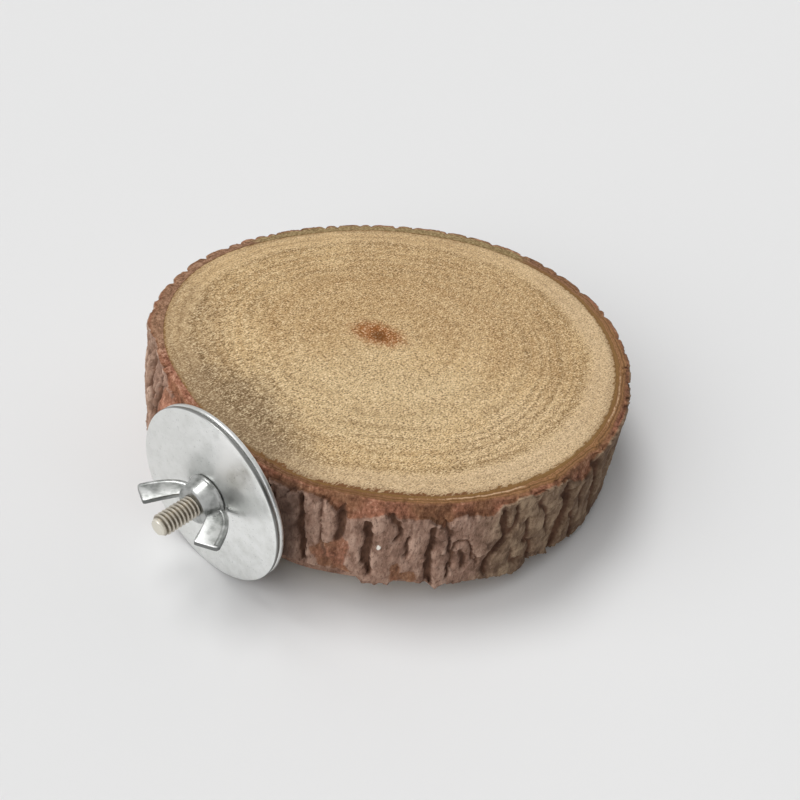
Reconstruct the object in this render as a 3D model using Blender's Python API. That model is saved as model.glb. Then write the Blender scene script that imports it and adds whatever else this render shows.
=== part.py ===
"""A perch for a cage bird: a slice of branch with its bark, a hanger bolt, two wide washers and a wing nut.

Metres, +Z up. The origin is the middle of the slice's underside. The bolt comes out of the bark towards -Y.
"""

import math
import random

import bmesh
import bpy
from mathutils import Matrix

# The slice of branch. Its outline is a circle, drawn out one way and slightly three-cornered
SLICE_RADIUS = 0.0400
SLICE_THICKNESS = 0.0190
OVAL = 0.0020
OVAL_TURN = math.radians(51)
THREE_CORNERED = 0.0007
THREE_CORNERED_TURN = math.radians(-28)
SAWN_EDGE = 0.0003

# The bark: plates side by side round the edge, with a furrow between each two
BARK_THICKNESS = 0.0028
BARK_LEFT = 0.0006
PLATE_SINK = 0.0004
FURROW_BANK = 0.00025
FURROW_FADE = 0.0015

# Where the plates are broken away from the inner bark. From one angle to the other the break is deeper
PLATE_FOOT = 0.0012
PLATE_TOP = 0.0184
FRONT_PLATE_TOP = 0.0167
FRONT_BREAK = (math.radians(-128), math.radians(4))
BREAK_STEP = 0.0004
BREAK_INSET = 0.0007
EDGE_INSET = 0.0011

# The main furrows in front: width, depth, and the line that each follows as (degrees, height)
FRONT_FURROWS = (
    (0.0013, 0.0013, ((-67.7, 0.0025), (-67.9, 0.0067), (-69.0, 0.0093), (-69.8, 0.0170))),
    (0.0015, 0.0013, ((-60.6, 0.0089), (-59.6, 0.0132), (-59.9, 0.0166))),
    (0.0016, 0.0014, ((-52.0, 0.0033), (-53.1, 0.0087), (-53.7, 0.0150))),
    (0.0009, 0.0010, ((-47.0, 0.0114), (-46.6, 0.0152), (-48.7, 0.0164))),
    (0.0008, 0.0010, ((-43.8, 0.0080), (-44.2, 0.0122))),
    (0.0014, 0.0013, ((-36.5, 0.0015), (-38.6, 0.0070), (-38.9, 0.0120), (-38.3, 0.0142))),
    (0.0007, 0.0009, ((-32.7, 0.0029), (-33.8, 0.0094), (-35.2, 0.0160))),
    (0.0006, 0.0008, ((-26.6, 0.0056), (-29.1, 0.0106), (-30.8, 0.0117))),
    (0.0012, 0.0013, ((-23.6, 0.0023), (-23.2, 0.0067), (-19.9, 0.0108), (-22.8, 0.0187))),
    (0.0008, 0.0009, ((-10.9, 0.0023), (-13.7, 0.0073), (-14.5, 0.0137))),
    (0.0006, 0.0008, ((-6.1, 0.0061), (-8.8, 0.0114), (-12.0, 0.0161), (-12.0, 0.0184))),
    (0.0019, 0.0015, ((-3.1, 0.0010), (-1.9, 0.0087), (-4.0, 0.0176))),
    (0.0008, 0.0009, ((4.9, 0.0017), (3.0, 0.0064), (1.5, 0.0087))),
    (0.0018, 0.0014, ((14.0, 0.0020), (10.8, 0.0108), (6.4, 0.0195))),
)

# The rest of the way round, the furrows lie by chance between these bounds
CHANCE_FROM, CHANCE_TO = 21.0, 284.0
CHANCE_SPACING = (5.5, 9.5)
CHANCE_WIDTH = (0.0007, 0.0017)
CHANCE_DEPTH = (0.0009, 0.0014)
CHANCE_SLANT = (-1.5, 3.0)
CHANCE_WANDER = 0.7
CHANCE_HEIGHTS = (0.0015, 0.0055, 0.0095, 0.0135, 0.0175)
CHANCE_SEED = 11

# The bolt. It is at mid-thickness, a little high, and stands out by its reach
BOLT_RISE = 0.0009
BOLT_LENGTH = 0.0400
BOLT_REACH = 0.0121
STUD_DIAMETER = 0.0038
STUD_PITCH = 0.0007
STUD_THREAD_DEPTH = 0.00040
STUD_THREAD_SUNK = 0.0014
TIP_CHAMFER = 0.0005
SHANK_DIAMETER = 0.0035
SHANK_LENGTH = 0.0030
SCREW_DIAMETER = 0.0040
SCREW_PITCH = 0.0018
SCREW_THREAD_DEPTH = 0.0007
SCREW_POINT_LENGTH = 0.0036
SCREW_POINT_RADIUS = 0.0003

# The washers and the wing nut
WASHER_DIAMETER = 0.0300
WASHER_THICKNESS = 0.0010
WASHER_HOLE_CLEARANCE = 0.00025
WASHER_EDGE = 0.0002
NUT_HEIGHT = 0.0032
NUT_BASE_DIAMETER = 0.0078
NUT_TOP_DIAMETER = 0.0063
NUT_BASE_BAND = 0.0005
NUT_CHAMFER = 0.0003
NUT_REST_TURN = math.radians(5)
WING_SPAN = 0.0184
WING_HEIGHT = 0.0078
WING_TIP_DROP = 0.0017
WING_TIP_INSET = 0.0034
WING_BELLY = 0.0009
WING_THICKNESS = 0.0011
WING_EDGE = 0.0002

# Room between pieces
SEAT_GAP = 0.0003
HOLE_CLEARANCE = 0.0002
THREAD_CLEARANCE = 0.0001
DRILL_SPARE = 0.0010

# How finely the round shapes are cut
SLICE_SIDES = 120
THREAD_SIDES = 20
WASHER_SIDES = 64
NUT_SIDES = 40
BORE_SIDES = 32

AROUND = 2 * math.pi
BOLT_HEIGHT = SLICE_THICKNESS / 2 + BOLT_RISE
BOLT_SUNK = BOLT_LENGTH - BOLT_REACH


def clear_scene():
    for thing in list(bpy.data.objects):
        bpy.data.objects.remove(thing, do_unlink=True)


def branch_radius(angle):
    """The distance from the middle of the slice to the outside of its bark."""
    oval = OVAL * math.cos(2 * (angle - OVAL_TURN))
    corners = THREE_CORNERED * math.cos(3 * (angle - THREE_CORNERED_TURN))
    return SLICE_RADIUS + oval + corners


def branch_front():
    """How far the outside of the bark reaches towards -Y, where the inner washer bears on it."""
    angles = [AROUND * step / 720 for step in range(720)]
    return max(-branch_radius(angle) * math.sin(angle) for angle in angles)


def on_circle(radius, angle, height):
    return (radius * math.cos(angle), radius * math.sin(angle), height)


def material(name, colour, roughness, metallic=0.0):
    made = bpy.data.materials.new(name)
    made.use_nodes = True
    shader = made.node_tree.nodes["Principled BSDF"]
    shader.inputs["Base Color"].default_value = (*colour, 1.0)
    shader.inputs["Roughness"].default_value = roughness
    shader.inputs["Metallic"].default_value = metallic
    return made


def object_from(bm, name, finish=None, smooth_below=math.radians(35)):
    """Turns the modelled mesh into an object of the scene, shaded smooth except at its sharp edges."""
    bmesh.ops.recalc_face_normals(bm, faces=bm.faces)
    mesh = bpy.data.meshes.new(name)
    bm.to_mesh(mesh)
    bm.free()
    mesh.shade_smooth()
    mesh.set_sharp_from_angle(angle=smooth_below)
    made = bpy.data.objects.new(name, mesh)
    bpy.context.scene.collection.objects.link(made)
    if finish:
        mesh.materials.append(finish)
    return made


def cut_or_join(target, tool, operation):
    """Leaves the tool in the scene as a wire guide, and a live Boolean on the target."""
    tool.hide_render = True
    tool.display_type = "WIRE"
    step = target.modifiers.new(tool.name, "BOOLEAN")
    step.operation = operation
    step.solver = "EXACT"
    step.object = tool


def bridge(bm, low, high, count):
    """Quads between two closed rings of as many vertices each."""
    for i in range(count):
        j = (i + 1) % count
        bm.faces.new((low[i], low[j], high[j], high[i]))


def turned(profile, sides, closed):
    """Turns a profile of (radius, height) points about Z: a ring if closed, or else a solid with two lids."""
    bm = bmesh.new()
    rings = []
    for radius, height in profile:
        rings.append([bm.verts.new(on_circle(radius, AROUND * i / sides, height)) for i in range(sides)])
    for low, high in zip(rings, rings[1:]):
        bridge(bm, low, high, sides)
    if closed:
        bridge(bm, rings[-1], rings[0], sides)
    else:
        bm.faces.new(reversed(rings[0]))
        bm.faces.new(rings[-1])
    return bm


def wood_slice(finish):
    bm = bmesh.new()
    edge = []
    for i in range(SLICE_SIDES):
        angle = AROUND * i / SLICE_SIDES
        edge.append(bm.verts.new(on_circle(branch_radius(angle) - BARK_THICKNESS - SEAT_GAP, angle, 0)))
    underside = bm.faces.new(edge)
    raised = bmesh.ops.extrude_face_region(bm, geom=[underside])["geom"]
    top = [part for part in raised if isinstance(part, bmesh.types.BMVert)]
    bmesh.ops.translate(bm, verts=top, vec=(0, 0, SLICE_THICKNESS))
    rims = [e for e in bm.edges if len(e.link_faces) == 2 and any(len(f.verts) > 4 for f in e.link_faces)]
    bmesh.ops.bevel(bm, geom=rims, offset=SAWN_EDGE, segments=1, affect="EDGES")
    return object_from(bm, "wood_slice", finish)


def furrows():
    """All furrows in order round the bark, each as its width, its depth and its line, foot first."""
    found = list(FRONT_FURROWS)
    dice = random.Random(CHANCE_SEED)
    at = CHANCE_FROM
    while at < CHANCE_TO:
        width, depth = dice.uniform(*CHANCE_WIDTH), dice.uniform(*CHANCE_DEPTH)
        slant = dice.uniform(*CHANCE_SLANT)
        line = []
        for height in CHANCE_HEIGHTS:
            wander = dice.uniform(-CHANCE_WANDER, CHANCE_WANDER)
            line.append((at + slant * (0.5 - height / SLICE_THICKNESS) + wander, height))
        found.append((width, depth, line))
        at += dice.uniform(*CHANCE_SPACING)
    return found


def furrow_at(furrow, height):
    """Where a furrow is at some height, as an angle, and how deep. Past its ends it fades out."""
    width, depth, line = furrow
    foot, top = line[0][1], line[-1][1]
    held = min(max(height, foot), top)
    for (angle, low), (next_angle, high) in zip(line, line[1:]):
        if held <= high:
            share = (held - low) / (high - low)
            angle += share * (next_angle - angle)
            break
    return math.radians(angle), depth * max(0.0, 1 - abs(height - held) / FURROW_FADE)


def plate_top(angle):
    """How high the bark's plates reach. Above that they are broken away."""
    low, high = FRONT_BREAK
    turned_back = (angle + math.pi) % AROUND - math.pi
    return FRONT_PLATE_TOP if low < turned_back < high else PLATE_TOP


def bark(finish):
    lines = furrows()
    count = len(lines)
    dice = random.Random(CHANCE_SEED)
    sinks = [dice.uniform(0, PLATE_SINK) for _ in lines]
    steps = 5

    def rows(top):
        """Heights from the foot to the sawn top, each with how far the surface is set in there."""
        found = [(0.0, EDGE_INSET)]
        for step in range(steps + 1):
            found.append((PLATE_FOOT + (top - PLATE_FOOT) * step / steps, 0.0))
        found.append((top + BREAK_STEP, BREAK_INSET))
        found.append((SLICE_THICKNESS, EDGE_INSET))
        return found

    def columns(plate, height):
        """Four places on a plate at some height: its furrow, its bank, its middle and its far bank."""
        here, depth = furrow_at(lines[plate], height)
        there, next_depth = furrow_at(lines[(plate + 1) % count], height)
        if plate == count - 1:
            there += AROUND
        bank = (0.4 * lines[plate][0] + FURROW_BANK) / SLICE_RADIUS
        far_bank = (0.4 * lines[(plate + 1) % count][0] + FURROW_BANK) / SLICE_RADIUS
        return ((here, depth), (here + bank, 0.0), ((here + there) / 2, 0.0), (there - far_bank, 0.0))

    bm = bmesh.new()
    outer = [[] for _ in range(steps + 4)]
    inner = [[], []]
    for plate in range(count):
        middle, _ = furrow_at(lines[plate], SLICE_THICKNESS / 2)
        levels = rows(plate_top(middle))
        for place in range(4):
            for row, (height, inset) in enumerate(levels):
                angle, depth = columns(plate, height)[place]
                sink = sinks[plate] if place else 0.0
                set_in = min(max(depth, inset) + sink, BARK_THICKNESS - BARK_LEFT)
                outer[row].append(bm.verts.new(on_circle(branch_radius(angle) - set_in, angle, height)))
            for end, height in enumerate((0.0, SLICE_THICKNESS)):
                angle, _ = columns(plate, height)[place]
                radius = branch_radius(angle) - BARK_THICKNESS
                inner[end].append(bm.verts.new(on_circle(radius, angle, height)))
    around = 4 * count
    for low, high in zip(outer, outer[1:]):
        bridge(bm, low, high, around)
    bridge(bm, outer[-1], inner[1], around)
    bridge(bm, inner[1], inner[0], around)
    bridge(bm, inner[0], outer[0], around)
    return object_from(bm, "bark", finish, smooth_below=math.radians(50))


def bolt_drill():
    """The drilled hole: as wide as the threads need, from outside the bark to past the bolt's point."""
    wide = max(SCREW_DIAMETER, STUD_DIAMETER, SHANK_DIAMETER) / 2 + HOLE_CLEARANCE
    profile = [(wide, -BOLT_SUNK - DRILL_SPARE), (wide, BOLT_REACH)]
    return object_from(turned(profile, BORE_SIDES, closed=False), "bolt_drill")


def ring(bm, radius, height):
    return [bm.verts.new(on_circle(radius, AROUND * i / THREAD_SIDES, height)) for i in range(THREAD_SIDES)]


def thread(bm, below, above, start, end, pitch, profile, shape):
    """Winds a right-hand thread between two rings. The profile is (share of pitch, height from 0 to 1)."""
    sides = THREAD_SIDES
    last = profile[-1][0] * pitch
    steps = int((end - start - last) / pitch * sides)
    rows = []
    for step in range(steps + 1):
        angle = AROUND * step / sides
        base = start + pitch * step / sides
        fade = min(1.0, step / sides, (steps - step) / sides)
        row = []
        for share, crest in profile:
            height = base + share * pitch
            row.append(bm.verts.new(on_circle(shape(height, crest * fade), angle, height)))
        rows.append(row)
    for step in range(steps):
        here, there = rows[step], rows[step + 1]
        for k in range(len(profile) - 1):
            bm.faces.new((here[k], there[k], there[k + 1], here[k + 1]))
        if step + sides < steps:
            bm.faces.new((here[-1], there[-1], rows[step + 1 + sides][0], rows[step + sides][0]))
    for step in range(sides):
        bm.faces.new((below[step], below[(step + 1) % sides], rows[step + 1][0], rows[step][0]))
    first_seam = [*rows[0], rows[sides][0]]
    for low, high in zip(first_seam, first_seam[1:]):
        bm.faces.new((below[0], low, high))
    for step in range(steps - sides, steps):
        bm.faces.new((rows[step][-1], rows[step + 1][-1], above[(step + 1) % sides], above[step % sides]))
    last_seam = [rows[steps - sides][-1], *rows[steps]]
    for low, high in zip(last_seam, last_seam[1:]):
        bm.faces.new((above[steps % sides], low, high))


STUD_PROFILE = ((0.0, 0.0), (0.25, 0.0), (0.56, 1.0), (0.69, 1.0))
SCREW_PROFILE = ((0.0, 0.0), (0.55, 0.0), (0.75, 1.0), (0.82, 1.0))


def stud_start():
    """Where the machine thread begins, along the bolt from the outside of the bark."""
    return -STUD_THREAD_SUNK


def hanger_bolt(finish):
    """Height 0 is the outside of the bark. The wood screw is below it and the machine thread above."""
    bm = bmesh.new()
    shank_top = stud_start() - STUD_PITCH / 2
    screw_top = shank_top - SHANK_LENGTH
    point = -BOLT_SUNK
    screw_root = SCREW_DIAMETER / 2 - SCREW_THREAD_DEPTH
    stud_root = STUD_DIAMETER / 2 - STUD_THREAD_DEPTH

    def screw_shape(height, crest):
        grown = min(1.0, (height - point) / SCREW_POINT_LENGTH)
        root = SCREW_POINT_RADIUS + (screw_root - SCREW_POINT_RADIUS) * grown
        return root + crest * grown * SCREW_THREAD_DEPTH

    def stud_shape(height, crest):
        return min(stud_root + crest * STUD_THREAD_DEPTH, stud_root - TIP_CHAMFER / 2 + BOLT_REACH - height)

    tip = ring(bm, SCREW_POINT_RADIUS / 2, point)
    neck = ring(bm, SHANK_DIAMETER / 2, screw_top)
    collar = ring(bm, SHANK_DIAMETER / 2, shank_top)
    end = ring(bm, stud_root - TIP_CHAMFER / 2, BOLT_REACH)
    bm.faces.new(reversed(tip))
    screw_from = point + SCREW_PITCH / 4
    thread(bm, tip, neck, screw_from, screw_top - SCREW_PITCH / 4, SCREW_PITCH, SCREW_PROFILE, screw_shape)
    bridge(bm, neck, collar, THREAD_SIDES)
    thread(bm, collar, end, stud_start(), BOLT_REACH - TIP_CHAMFER / 2, STUD_PITCH, STUD_PROFILE, stud_shape)
    bm.faces.new(end)
    return object_from(bm, "hanger_bolt", finish)


def washer(name, finish):
    """A wide thin washer, lying on height 0, with a stamped edge."""
    hole = STUD_DIAMETER / 2 + WASHER_HOLE_CLEARANCE
    rim = WASHER_DIAMETER / 2
    profile = [
        (hole, 0.0),
        (hole, WASHER_THICKNESS),
        (rim - WASHER_EDGE, WASHER_THICKNESS),
        (rim, WASHER_THICKNESS - WASHER_EDGE),
        (rim, 0.0),
    ]
    return object_from(turned(profile, WASHER_SIDES, closed=True), name, finish)


def nut_hub(finish):
    bottom = NUT_BASE_DIAMETER / 2
    top = NUT_TOP_DIAMETER / 2
    profile = [
        (bottom - NUT_CHAMFER, 0.0),
        (bottom, NUT_CHAMFER),
        (bottom, NUT_BASE_BAND),
        (top, NUT_HEIGHT - NUT_CHAMFER),
        (top - NUT_CHAMFER, NUT_HEIGHT),
    ]
    return object_from(turned(profile, NUT_SIDES, closed=False), "wing_nut", finish)


def nut_wings():
    """Both wings: each a flat plate that stands out of the hub and leans back, with angular corners."""
    bm = bmesh.new()
    root = (STUD_DIAMETER / 2 + THREAD_CLEARANCE + NUT_TOP_DIAMETER / 2) / 2
    tip = WING_SPAN / 2
    foot = NUT_BASE_BAND
    corner = WING_HEIGHT - WING_TIP_DROP
    low = [(NUT_BASE_DIAMETER / 2, foot)]
    for share in (0.35, 0.7):
        bulge = WING_BELLY * math.sin(math.pi * share)
        radius = NUT_BASE_DIAMETER / 2 + share * (tip - NUT_BASE_DIAMETER / 2) + bulge
        low.append((radius, foot + share * (corner - foot) - bulge))
    outline = [
        (root, foot),
        *low,
        (tip, corner),
        (tip - WING_TIP_INSET, WING_HEIGHT),
        (NUT_TOP_DIAMETER / 2, NUT_HEIGHT - NUT_CHAMFER),
        (root, NUT_HEIGHT - NUT_CHAMFER),
    ]
    for side in (1, -1):
        back = -side * WING_THICKNESS / 2
        plate = bm.faces.new([bm.verts.new((side * radius, back, height)) for radius, height in outline])
        moved = bmesh.ops.extrude_face_region(bm, geom=[plate])["geom"]
        far = [part for part in moved if isinstance(part, bmesh.types.BMVert)]
        bmesh.ops.translate(bm, verts=far, vec=(0, side * WING_THICKNESS, 0))
    bmesh.ops.bevel(bm, geom=list(bm.edges), offset=WING_EDGE, segments=1, affect="EDGES")
    bmesh.ops.rotate(bm, verts=bm.verts, cent=(0, 0, 0), matrix=Matrix.Rotation(NUT_REST_TURN, 3, "Z"))
    return object_from(bm, "wing_guide")


def nut_tap(nut_base):
    """The cutter of the nut's thread: the stud's own thread, wider all round and in step with it."""
    bm = bmesh.new()
    root = STUD_DIAMETER / 2 - STUD_THREAD_DEPTH + THREAD_CLEARANCE
    behind = math.ceil((nut_base - stud_start()) / STUD_PITCH) * STUD_PITCH
    start = stud_start() - nut_base + behind - 3 * STUD_PITCH
    end = NUT_HEIGHT + 3 * STUD_PITCH

    def shape(height, crest):
        return root + crest * STUD_THREAD_DEPTH

    low = ring(bm, root - THREAD_CLEARANCE, start - STUD_PITCH / 2)
    high = ring(bm, root - THREAD_CLEARANCE, end + STUD_PITCH / 2)
    bm.faces.new(reversed(low))
    thread(bm, low, high, start, end, STUD_PITCH, STUD_PROFILE, shape)
    bm.faces.new(high)
    return object_from(bm, "nut_tap")


def place_on_bolt(piece, axis, height):
    piece.parent = axis
    piece.location = (0, 0, height)


def build():
    clear_scene()
    wood = material("sawn_wood", (0.60, 0.42, 0.24), 0.75)
    rough_bark = material("rough_bark", (0.16, 0.09, 0.06), 0.9)
    steel = material("thread_steel", (0.42, 0.37, 0.30), 0.4, 1.0)
    zinc = material("zinc_plate", (0.72, 0.73, 0.74), 0.38, 1.0)
    bright_zinc = material("bright_zinc", (0.80, 0.81, 0.82), 0.22, 1.0)

    axis = bpy.data.objects.new("bolt_axis", None)
    bpy.context.scene.collection.objects.link(axis)
    axis.location = (0, -branch_front(), BOLT_HEIGHT)
    axis.rotation_euler = (math.pi / 2, 0, 0)

    disc = wood_slice(wood)
    skin = bark(rough_bark)
    drill = bolt_drill()
    place_on_bolt(drill, axis, 0)
    cut_or_join(disc, drill, "DIFFERENCE")
    cut_or_join(skin, drill, "DIFFERENCE")

    place_on_bolt(hanger_bolt(steel), axis, 0)
    inner_at = SEAT_GAP
    outer_at = inner_at + WASHER_THICKNESS + SEAT_GAP
    nut_at = outer_at + WASHER_THICKNESS + SEAT_GAP
    place_on_bolt(washer("inner_washer", zinc), axis, inner_at)
    place_on_bolt(washer("outer_washer", zinc), axis, outer_at)
    nut = nut_hub(bright_zinc)
    wings = nut_wings()
    tap = nut_tap(nut_at)
    for piece in (nut, wings, tap):
        place_on_bolt(piece, axis, nut_at)
    cut_or_join(nut, wings, "UNION")
    cut_or_join(nut, tap, "DIFFERENCE")


build()
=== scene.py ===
# %% [markdown]
# # A bird platform: a slice of branch, a hanger bolt, two washers and a wing nut
#
# This lesson dresses a packed CAD model. The CAD pieces give every size and place. Each of them is
# replaced here by a finer piece in the same spot, and gets a finish made from nodes.

# %% Load the packed model as a fixed frame
import math
import random

import bmesh
import bpy
import numpy as np
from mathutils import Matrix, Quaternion, Vector, noise


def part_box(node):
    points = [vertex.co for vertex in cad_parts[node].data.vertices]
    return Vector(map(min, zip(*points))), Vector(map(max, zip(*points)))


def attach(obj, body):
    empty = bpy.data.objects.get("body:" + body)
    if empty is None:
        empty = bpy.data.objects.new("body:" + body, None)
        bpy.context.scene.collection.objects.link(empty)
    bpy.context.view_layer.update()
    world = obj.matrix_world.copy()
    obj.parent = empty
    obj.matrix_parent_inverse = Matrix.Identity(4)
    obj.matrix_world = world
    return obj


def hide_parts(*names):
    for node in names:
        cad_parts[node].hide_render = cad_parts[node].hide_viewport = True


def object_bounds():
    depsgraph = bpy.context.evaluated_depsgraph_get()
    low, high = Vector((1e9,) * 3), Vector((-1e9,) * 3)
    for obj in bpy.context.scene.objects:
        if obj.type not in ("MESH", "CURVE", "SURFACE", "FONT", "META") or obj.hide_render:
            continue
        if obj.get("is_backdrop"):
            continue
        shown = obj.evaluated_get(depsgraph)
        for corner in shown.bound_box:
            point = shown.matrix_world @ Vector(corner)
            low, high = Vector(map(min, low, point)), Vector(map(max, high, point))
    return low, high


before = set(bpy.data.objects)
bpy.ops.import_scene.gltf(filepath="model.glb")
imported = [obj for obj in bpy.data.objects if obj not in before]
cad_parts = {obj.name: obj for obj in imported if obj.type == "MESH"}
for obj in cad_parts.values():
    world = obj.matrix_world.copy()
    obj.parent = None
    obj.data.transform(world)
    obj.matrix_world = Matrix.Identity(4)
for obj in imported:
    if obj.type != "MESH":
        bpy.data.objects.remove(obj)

cad_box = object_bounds()
MM = 0.001
AROUND = 2 * math.pi
print("nodes:", sorted(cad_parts))
print("model box in mm:", [[round(v / MM, 2) for v in corner] for corner in cad_box])

# %% [markdown]
# ## Sizes taken from the CAD nodes
#
# A new piece fits only if it starts from the same numbers as the model under it. The height of the bolt, the
# faces of the washers and the thickness of the slice are read from the boxes of the nodes, so no number has
# to be kept in two places. The outline of the branch is the one thing that a box can't tell: it is a circle,
# drawn out one way and slightly three-cornered, and its formula is written out here.

# %% Read the boxes of the nodes
SLICE_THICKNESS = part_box("wood_slice")[1][2]
BOLT_HEIGHT = (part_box("inner_washer")[0][2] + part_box("inner_washer")[1][2]) / 2
WASHER_RADIUS = (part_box("inner_washer")[1][2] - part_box("inner_washer")[0][2]) / 2
INNER_WASHER_FACE = -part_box("inner_washer")[1][1]
BOLT_TIP = -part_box("hanger_bolt")[0][1]
BOLT_POINT = -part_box("hanger_bolt")[1][1]
print("slice %.1f mm thick, bolt axis %.1f mm up" % (SLICE_THICKNESS / MM, BOLT_HEIGHT / MM))
print("bolt from %.1f to %.1f mm out" % (BOLT_POINT / MM, BOLT_TIP / MM))


# %% The outline of the branch
def turned_from(middle, degrees):
    """How far angles in degrees are turned from the middle one, from -180 to 180."""
    return (degrees - middle + 180) % 360 - 180


def branch_radius(angle):
    """The distance from the middle of the slice to the outside of its bark, in metres."""
    oval = 2.0 * np.cos(2 * (angle - math.radians(51)))
    corners = 0.7 * np.cos(3 * (angle - math.radians(-28)))
    return (40.0 + oval + corners) * MM


def bark_width(angle):
    """How thick the bark is: about 3 mm, more to the left of the bolt, less to its right and at the back."""
    width = 3.0 + 0.15 * np.sin(2 * angle) + 0.14 * np.cos(3 * angle)
    for middle, half, more in ((-113, 14, 0.75), (-70, 10, -0.70), (-165, 24, -0.85), (142, 20, -0.45)):
        width = width + more * np.exp(-(turned_from(middle, np.degrees(angle)) / half) ** 2)
    return width * MM


def wood_radius(angle):
    """The edge of the wood. The bark begins a hair outside it."""
    return branch_radius(angle) - bark_width(angle)


PITH = Vector((-3.8 * MM, -0.9 * MM, 0))
print("the wood is %.1f mm wide along X" % ((wood_radius(0.0) + wood_radius(math.pi)) / MM))

# %% [markdown]
# ## Camera
#
# The photograph was taken from close by, a little above, and with the camera held askew. A camera that turns
# round a point on the slice's top is described by four numbers: how far round it stands, how high, how much
# it is rolled, and how far away it is. The lens then gives the slice its width in the picture.

# %% Place the camera
CAMERA_AIM = Vector((9.931, -10.378, 19.0)) * MM
CAMERA_AROUND = math.radians(35.305)
CAMERA_UP = math.radians(40.688)
CAMERA_ROLL = math.radians(9.998)
CAMERA_DISTANCE = 190.04 * MM
CAMERA_LENS = 52.88


def called(name):
    """Names the object that was just made."""
    piece = bpy.context.object
    piece.name = name
    return piece


def aim(piece, towards, roll=0.0):
    """Turns a piece until its Z axis points that way."""
    piece.rotation_mode = "QUATERNION"
    piece.rotation_quaternion = towards.to_track_quat("Z", "Y") @ Quaternion((0, 0, 1), roll)


towards_camera = Vector((math.sin(CAMERA_AROUND) * math.cos(CAMERA_UP),
                         -math.cos(CAMERA_AROUND) * math.cos(CAMERA_UP),
                         math.sin(CAMERA_UP)))
bpy.ops.object.camera_add(location=CAMERA_AIM + CAMERA_DISTANCE * towards_camera)
camera = called("camera")
aim(camera, towards_camera, CAMERA_ROLL)
camera.data.lens = CAMERA_LENS
camera.data.clip_start = 10 * MM
bpy.context.scene.camera = camera
print("camera at", [round(v / MM, 1) for v in camera.location], "mm")

# %% [markdown]
# ## Helpers for materials
#
# A photograph of wood could be laid on each piece, but it would stretch on the bark and blur from close by.
# So a finish is built from nodes, and two small classes keep that short. A finish adds a node for each call
# and hands back what the node gives out, as a pattern. Patterns can be added and multiplied like numbers, so
# that a finish reads from top to bottom like a recipe. Colours are written as a paint card would list them,
# from 0 to 255, and turned into the linear values that the nodes need.


# %% A pattern, and what can be done with it
def colour(red, green, blue):
    """A colour from its values on screen, as the linear numbers that the nodes use."""
    linear = []
    for value in (red, green, blue):
        share = value / 255
        linear.append(share / 12.92 if share <= 0.04045 else ((share + 0.055) / 1.055) ** 2.4)
    return (*linear, 1.0)


class Pattern:
    """A number or a colour that changes over the surface."""

    def __init__(self, recipe, socket):
        self.recipe, self.socket = recipe, socket

    def reckon(self, operation, first, second):
        return self.recipe.add("Math", {0: first, 1: second}, operation=operation)

    def __add__(self, other):
        return self.reckon("ADD", self, other)

    def __sub__(self, other):
        return self.reckon("SUBTRACT", self, other)

    def __rsub__(self, other):
        return self.reckon("SUBTRACT", other, self)

    def __mul__(self, other):
        return self.reckon("MULTIPLY", self, other)

    def most(self, other):
        return self.reckon("MAXIMUM", self, other)

    def rise(self, low, high):
        """0 where the pattern is at low or below, 1 where it is at high or above, and smooth between."""
        inputs = {"Value": self, "From Min": low, "From Max": high}
        return self.recipe.add("MapRange", inputs, interpolation_type="SMOOTHSTEP")

    def span(self, low, high, from_low=0.0, from_high=1.0):
        """Stretches the pattern, so that it runs from low to high."""
        return self.recipe.add("MapRange", {"Value": self, "From Min": from_low, "From Max": from_high,
                                            "To Min": low, "To Max": high})

    def stripes(self, scale, detail, rough=0.5):
        """Uneven stripes along the pattern, from 0 to 1."""
        inputs = {"W": self, "Scale": scale, "Detail": detail, "Roughness": rough}
        return self.recipe.add("TexNoise", inputs, noise_dimensions="1D")

    def ramp(self, *stops):
        """Colours along a scale from 0 to 1. A stop is (place, red, green, blue)."""
        node = self.recipe.tree.nodes.new("ShaderNodeValToRGB")
        self.recipe.join(node.inputs["Fac"], self)
        while len(node.color_ramp.elements) < len(stops):
            node.color_ramp.elements.new(1.0)
        for element, (position, *tint) in zip(node.color_ramp.elements, stops):
            element.position, element.color = position, colour(*tint)
        return Pattern(self.recipe, node.outputs["Color"])

    def coats(self, *layers):
        """This colour with others laid over it, one by one. A layer is (how much of it shows, its colour)."""
        result = self
        for share, tint in layers:
            result = self.recipe.mix(share, result, tint)
        return result

    def bump(self, depth, strength):
        """Makes the surface look as if it rose by depth metres where the pattern is 1."""
        return self.recipe.add("Bump", {"Height": self, "Distance": depth, "Strength": strength})


# %% A recipe, and the finish that is made with it
class Recipe:
    """A tree of nodes under construction."""

    def __init__(self, tree):
        self.tree = tree

    def join(self, socket, value):
        if isinstance(value, Pattern):
            self.tree.links.new(value.socket, socket)
        else:
            socket.default_value = colour(*value) if socket.type == "RGBA" else value

    def add(self, kind, inputs, out=0, **settings):
        node = self.tree.nodes.new("ShaderNode" + kind)
        for name, value in settings.items():
            setattr(node, name, value)
        for name, value in inputs.items():
            self.join(node.inputs[name], value)
        return Pattern(self, node.outputs[out])

    def mix(self, share, first, second):
        return self.add("Mix", {0: share, 6: first, 7: second}, out=2, data_type="RGBA")


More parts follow.
